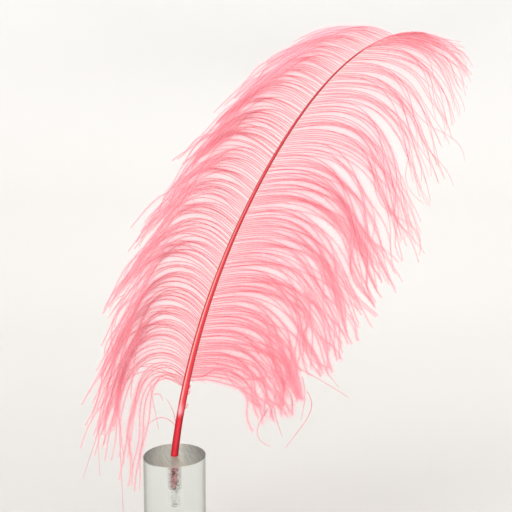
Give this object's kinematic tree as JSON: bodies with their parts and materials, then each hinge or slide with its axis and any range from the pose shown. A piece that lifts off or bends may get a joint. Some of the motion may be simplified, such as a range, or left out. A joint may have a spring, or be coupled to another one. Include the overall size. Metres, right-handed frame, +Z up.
{
  "type": "ostrich feather",
  "caption": "Dyed pink ostrich plume that leans and curls over, standing by its quill in a drilled clear acrylic rod.",
  "frame": {"origin": "centre of the acrylic rod's flat foot", "axes": "+Z up along the rod; the plume leans towards +X; -Y is the front, towards which its tip curls"},
  "size_m": [0.2913, 0.0852, 0.4322],
  "materials": {
    "clear_acrylic": "clear cast acrylic, polished round the side, sawn and lightly sanded on top",
    "dyed_quill": "dyed keratin, satin, with a lengthwise groove along the rachis",
    "dyed_barbs": "loose dyed down-like barbs, soft and translucent"
  },
  "bodies": {
    "root": {"stand": "clear_acrylic", "shaft": "dyed_quill", "vane_left": "dyed_barbs", "vane_right": "dyed_barbs"}
  },
  "joints": []
}
